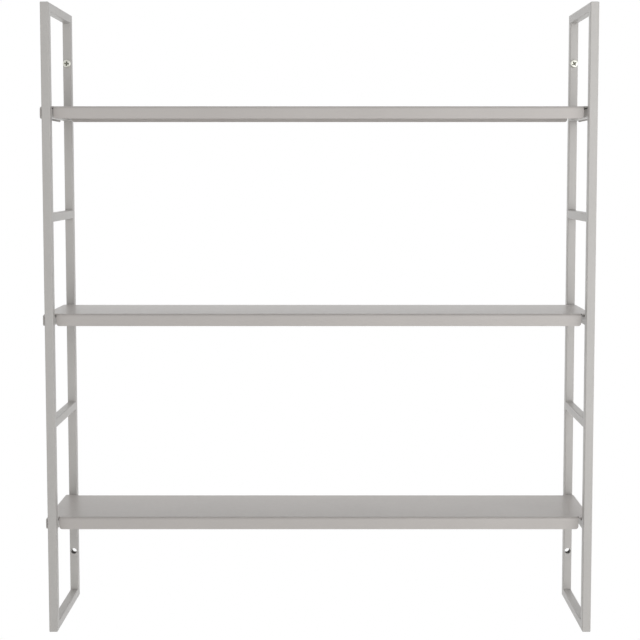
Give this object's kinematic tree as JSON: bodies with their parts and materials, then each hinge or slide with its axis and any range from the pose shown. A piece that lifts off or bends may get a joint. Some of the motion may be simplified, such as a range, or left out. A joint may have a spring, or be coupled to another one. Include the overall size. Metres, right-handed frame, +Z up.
{
  "type": "wall shelf",
  "caption": "Wall-hung shelf: welded square-tube ladder frames carry folded sheet shelves that hook over the rungs on thin pads and lift off.",
  "frame": {"origin": "on the wall's surface, midway between the two upper wall screws", "axes": "+X along the wall to the right as seen from the room, +Y into the wall, +Z up"},
  "size_m": [0.7678, 0.168, 0.875],
  "materials": {
    "tube_coat": "warm light grey satin coat",
    "shelf_coat": "warm light grey satin coat",
    "screw_zinc": "bright zinc plate",
    "pad_rubber": "dark grey, matt"
  },
  "bodies": {
    "wall_frame": {"left_front_upright": "tube_coat", "left_rear_upright": "tube_coat", "left_top_rail": "tube_coat", "left_bottom_rail": "tube_coat", "left_rung_1": "tube_coat", "left_rung_2": "tube_coat", "left_rung_3": "tube_coat", "left_rung_4": "tube_coat", "left_rung_5": "tube_coat", "right_front_upright": "tube_coat", "right_rear_upright": "tube_coat", "right_top_rail": "tube_coat", "right_bottom_rail": "tube_coat", "right_rung_1": "tube_coat", "right_rung_2": "tube_coat", "right_rung_3": "tube_coat", "right_rung_4": "tube_coat", "right_rung_5": "tube_coat", "left_wall_screw": "screw_zinc", "right_wall_screw": "screw_zinc"},
    "lower_shelf_set": {"lower_shelf": "shelf_coat", "lower_shelf_left_pad": "pad_rubber", "lower_shelf_right_pad": "pad_rubber"},
    "middle_shelf_set": {"middle_shelf": "shelf_coat", "middle_shelf_left_pad": "pad_rubber", "middle_shelf_right_pad": "pad_rubber"},
    "upper_shelf_set": {"upper_shelf": "shelf_coat", "upper_shelf_left_pad": "pad_rubber", "upper_shelf_right_pad": "pad_rubber"}
  },
  "joints": [
    {"name": "lower_shelf_lift", "type": "slide", "parent": "wall_frame", "child": "lower_shelf_set", "axis": [0, 0, 1], "range_m": [0, 0.126]},
    {"name": "middle_shelf_lift", "type": "slide", "parent": "wall_frame", "child": "middle_shelf_set", "axis": [0, 0, 1], "range_m": [0, 0.126]},
    {"name": "upper_shelf_lift", "type": "slide", "parent": "wall_frame", "child": "upper_shelf_set", "axis": [0, 0, 1], "range_m": [0, 0.126]}
  ]
}
